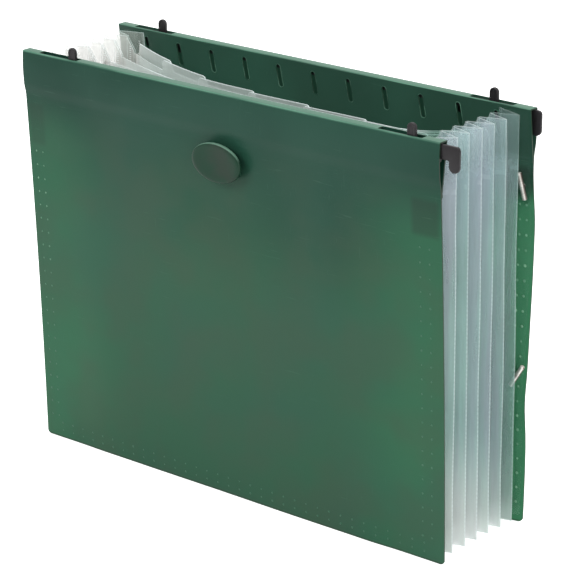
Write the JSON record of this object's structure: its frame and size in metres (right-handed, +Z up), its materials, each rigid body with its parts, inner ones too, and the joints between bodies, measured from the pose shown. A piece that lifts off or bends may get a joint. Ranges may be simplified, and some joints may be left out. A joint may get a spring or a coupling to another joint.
{
  "type": "expanding hanging folder",
  "caption": "Hanging folder with two stiff covers, hooked hems, tabbed dividers and pleated pockets that expand, and an oval closure button.",
  "frame": {"origin": "middle of the front cover's bottom edge, in the middle of its sheet", "axes": "+X along the hems towards the right-hand hooks, +Y from the front cover to the back cover, +Z up"},
  "size_m": [0.3099, 0.0929, 0.2485],
  "materials": {
    "cover_green": "dark green translucent polypropylene sheet, softly glossy with a fine grain",
    "hook_black": "black moulded plastic, satin",
    "frosted_clear": "frosted clear polypropylene film",
    "bright_steel": "bright nickel-plated steel",
    "elastic_green": "braided elastic, dull"
  },
  "bodies": {
    "front_cover": {"front_cover": "cover_green", "front_rail": "hook_black", "button": "cover_green", "button_post": "cover_green", "pleat_left_1": "frosted_clear", "pleat_right_1": "frosted_clear", "pocket_bottom_1": "frosted_clear"},
    "divider_1": {"divider_1": "frosted_clear", "pleat_left_2": "frosted_clear", "pleat_right_2": "frosted_clear", "pocket_bottom_2": "frosted_clear"},
    "divider_2": {"divider_2": "frosted_clear", "pleat_left_3": "frosted_clear", "pleat_right_3": "frosted_clear", "pocket_bottom_3": "frosted_clear"},
    "divider_3": {"divider_3": "frosted_clear", "pleat_left_4": "frosted_clear", "pleat_right_4": "frosted_clear", "pocket_bottom_4": "frosted_clear"},
    "divider_4": {"divider_4": "frosted_clear", "pleat_left_5": "frosted_clear", "pleat_right_5": "frosted_clear", "pocket_bottom_5": "frosted_clear"},
    "divider_5": {"divider_5": "frosted_clear", "pleat_left_6": "frosted_clear", "pleat_right_6": "frosted_clear", "pocket_bottom_6": "frosted_clear"},
    "back_cover": {"back_cover": "cover_green", "back_rail": "hook_black", "back_liner": "frosted_clear", "cord_barb_upper": "bright_steel", "cord_barb_lower": "bright_steel", "elastic_cord": "elastic_green"},
    "hook_front_left": {"hook_front_left": "hook_black"},
    "hook_front_right": {"hook_front_right": "hook_black"},
    "hook_back_left": {"hook_back_left": "hook_black"},
    "hook_back_right": {"hook_back_right": "hook_black"}
  },
  "joints": [
    {"name": "pocket_1_opens", "type": "slide", "parent": "front_cover", "child": "divider_1", "axis": [0, 1, 0], "range_m": [-0.009, 0.001], "deforming": ["pleat_left_1", "pleat_right_1", "pocket_bottom_1"]},
    {"name": "pocket_2_opens", "type": "slide", "parent": "divider_1", "child": "divider_2", "axis": [0, 1, 0], "range_m": [-0.009, 0.001], "deforming": ["pleat_left_2", "pleat_right_2", "pocket_bottom_2"]},
    {"name": "pocket_3_opens", "type": "slide", "parent": "divider_2", "child": "divider_3", "axis": [0, 1, 0], "range_m": [-0.009, 0.001], "deforming": ["pleat_left_3", "pleat_right_3", "pocket_bottom_3"]},
    {"name": "pocket_4_opens", "type": "slide", "parent": "divider_3", "child": "divider_4", "axis": [0, 1, 0], "range_m": [-0.009, 0.001], "deforming": ["pleat_left_4", "pleat_right_4", "pocket_bottom_4"]},
    {"name": "pocket_5_opens", "type": "slide", "parent": "divider_4", "child": "divider_5", "axis": [0, 1, 0], "range_m": [-0.009, 0.001], "deforming": ["pleat_left_5", "pleat_right_5", "pocket_bottom_5"]},
    {"name": "pocket_6_opens", "type": "slide", "parent": "divider_5", "child": "back_cover", "axis": [0, 1, 0], "range_m": [-0.009, 0.001], "deforming": ["pleat_left_6", "pleat_right_6", "pocket_bottom_6"]},
    {"name": "front_left_hook_slides", "type": "slide", "parent": "front_cover", "child": "hook_front_left", "axis": [-1, 0, 0], "range_m": [0, 0.0218]},
    {"name": "front_right_hook_slides", "type": "slide", "parent": "front_cover", "child": "hook_front_right", "axis": [1, 0, 0], "range_m": [-0.018, 0.0037]},
    {"name": "back_left_hook_slides", "type": "slide", "parent": "back_cover", "child": "hook_back_left", "axis": [-1, 0, 0], "range_m": [-0.0058, 0.0159]},
    {"name": "back_right_hook_slides", "type": "slide", "parent": "back_cover", "child": "hook_back_right", "axis": [1, 0, 0], "range_m": [-0.0109, 0.0109]}
  ],
  "couplings": [
    {"joint": "pocket_2_opens", "follows": "pocket_1_opens", "ratio": 1},
    {"joint": "pocket_3_opens", "follows": "pocket_1_opens", "ratio": 1},
    {"joint": "pocket_4_opens", "follows": "pocket_1_opens", "ratio": 1},
    {"joint": "pocket_5_opens", "follows": "pocket_1_opens", "ratio": 1},
    {"joint": "pocket_6_opens", "follows": "pocket_1_opens", "ratio": 1}
  ]
}
